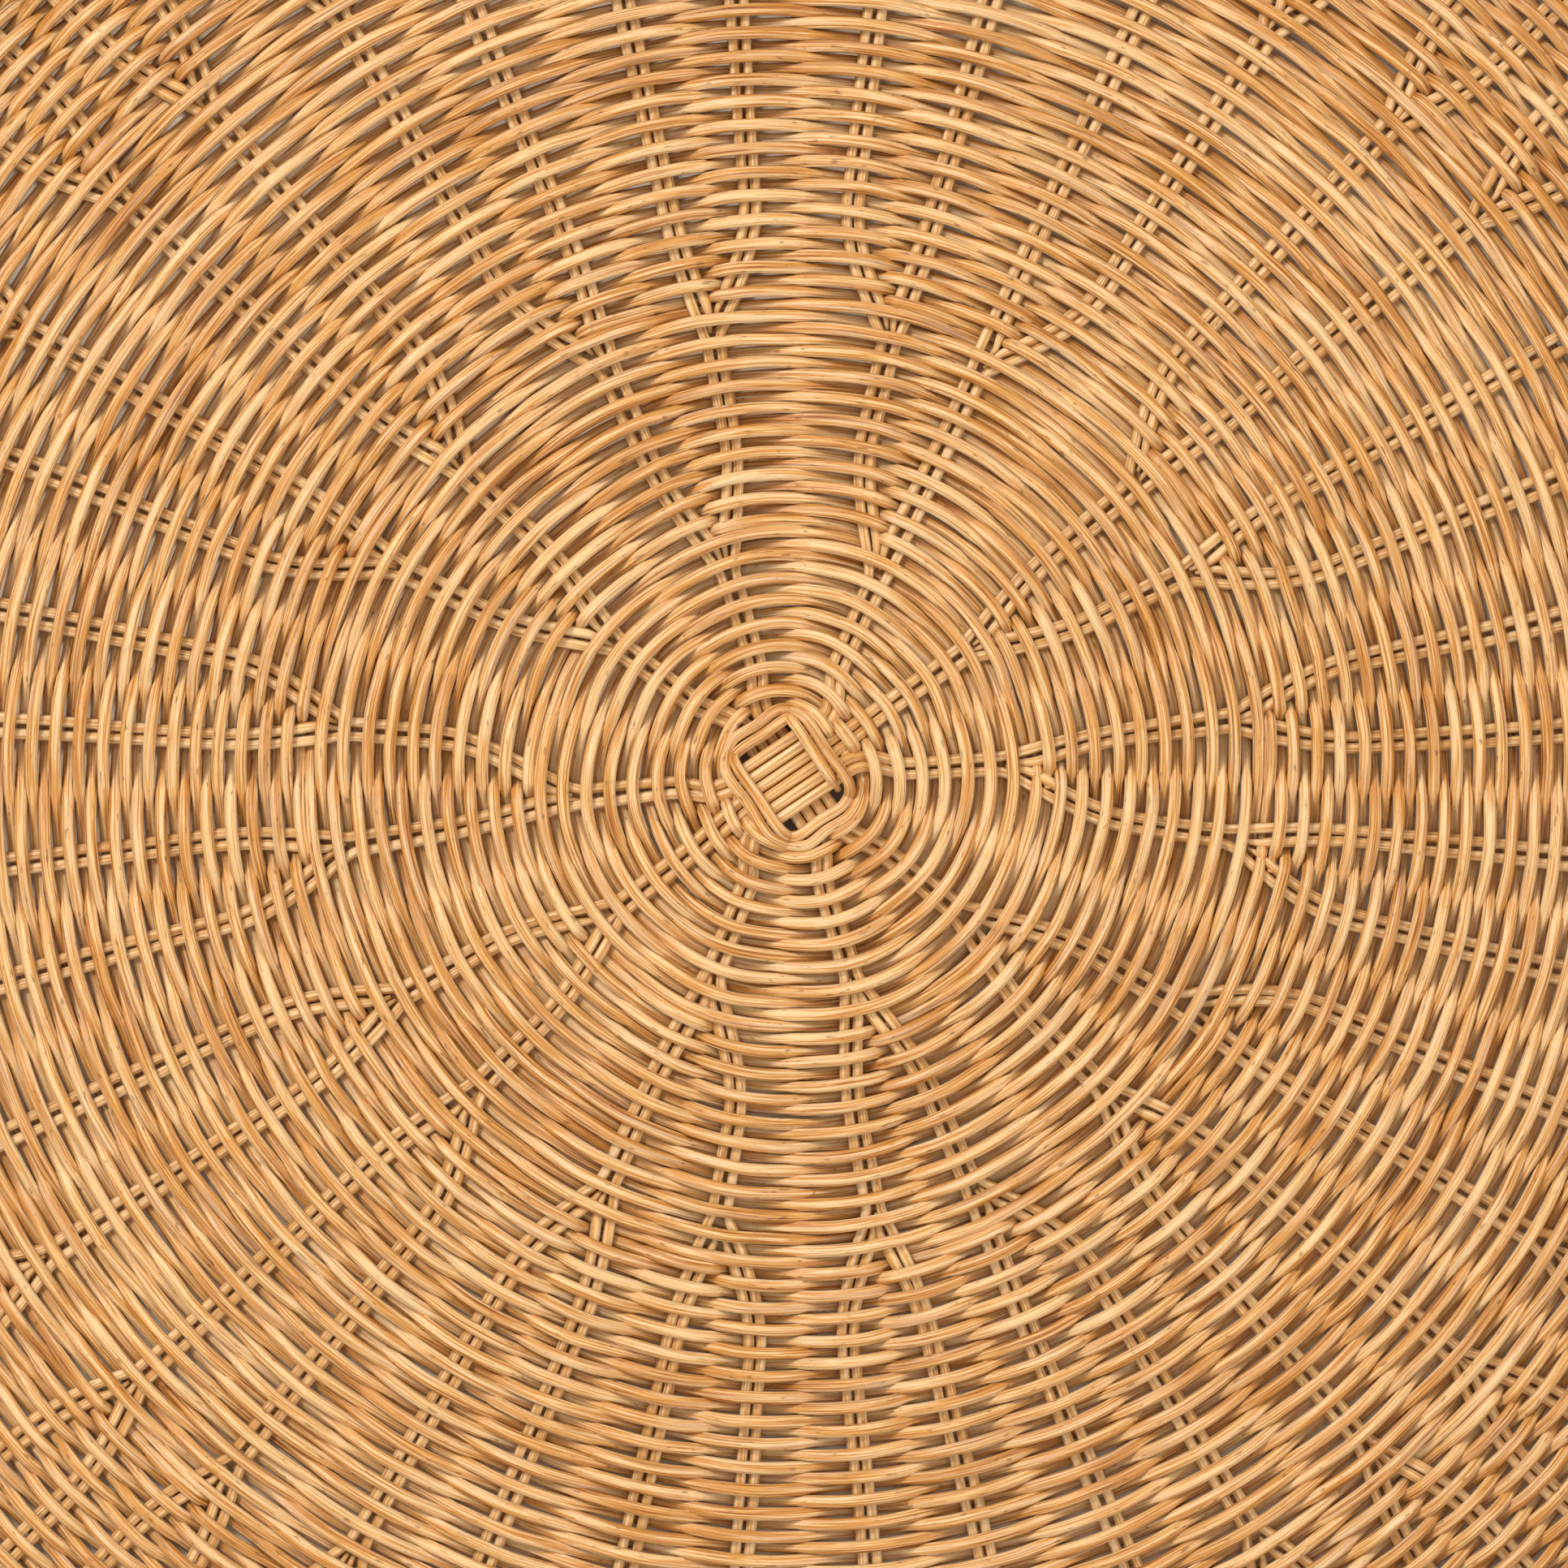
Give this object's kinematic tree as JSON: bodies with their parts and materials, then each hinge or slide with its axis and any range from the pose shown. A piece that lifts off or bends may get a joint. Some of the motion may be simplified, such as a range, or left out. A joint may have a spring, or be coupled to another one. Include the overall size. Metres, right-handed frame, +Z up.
{
  "type": "winnowing basket",
  "caption": "Round shallow winnowing basket of woven round rattan, with a flat base, a short leaning wall and a lashed hoop rim.",
  "frame": {"origin": "middle of the underside of the flat base", "axes": "+Z up through the open top; the upper group of base canes runs 34 degrees from +X towards +Y"},
  "size_m": [0.718, 0.718, 0.081],
  "materials": {
    "cane": "peeled rattan core, satin",
    "weaver": "peeled rattan core, satin, darker in its grain",
    "hoop_wood": "bent wood strip, rubbed smooth by hands",
    "filler_cane": "whole rattan cane, satin",
    "lashing": "split cane skin, smooth"
  },
  "bodies": {
    "root": {"upper_base_cane_1": "cane", "upper_base_cane_2": "cane", "upper_base_cane_3": "cane", "upper_base_cane_4": "cane", "upper_base_cane_5": "cane", "upper_base_cane_6": "cane", "lower_base_cane_1": "cane", "lower_base_cane_2": "cane", "lower_base_cane_3": "cane", "lower_base_cane_4": "cane", "first_pushed_in_canes_1": "cane", "first_pushed_in_canes_2": "cane", "first_pushed_in_canes_3": "cane", "first_pushed_in_canes_4": "cane", "first_pushed_in_canes_5": "cane", "first_pushed_in_canes_6": "cane", "first_pushed_in_canes_7": "cane", "first_pushed_in_canes_8": "cane", "first_pushed_in_canes_9": "cane", "first_pushed_in_canes_10": "cane", "second_pushed_in_canes_1": "cane", "second_pushed_in_canes_2": "cane", "second_pushed_in_canes_3": "cane", "second_pushed_in_canes_4": "cane", "second_pushed_in_canes_5": "cane", "second_pushed_in_canes_6": "cane", "second_pushed_in_canes_7": "cane", "second_pushed_in_canes_8": "cane", "second_pushed_in_canes_9": "cane", "second_pushed_in_canes_10": "cane", "third_pushed_in_canes_1": "cane", "third_pushed_in_canes_2": "cane", "third_pushed_in_canes_3": "cane", "third_pushed_in_canes_4": "cane", "third_pushed_in_canes_5": "cane", "third_pushed_in_canes_6": "cane", "third_pushed_in_canes_7": "cane", "third_pushed_in_canes_8": "cane", "third_pushed_in_canes_9": "cane", "third_pushed_in_canes_10": "cane", "slath_tie_top": "weaver", "slath_tie_bottom": "weaver", "weave_ring_first": "weaver", "weave_ring_second": "weaver", "weave_ring_third": "weaver", "weave_ring_fourth": "weaver", "turn_weave": "weaver", "wall_weave": "weaver", "rim_weave": "weaver", "inner_rim_hoop": "hoop_wood", "outer_rim_hoop": "hoop_wood", "rim_filler_cane": "filler_cane", "rim_lashing": "lashing"}
  },
  "joints": []
}
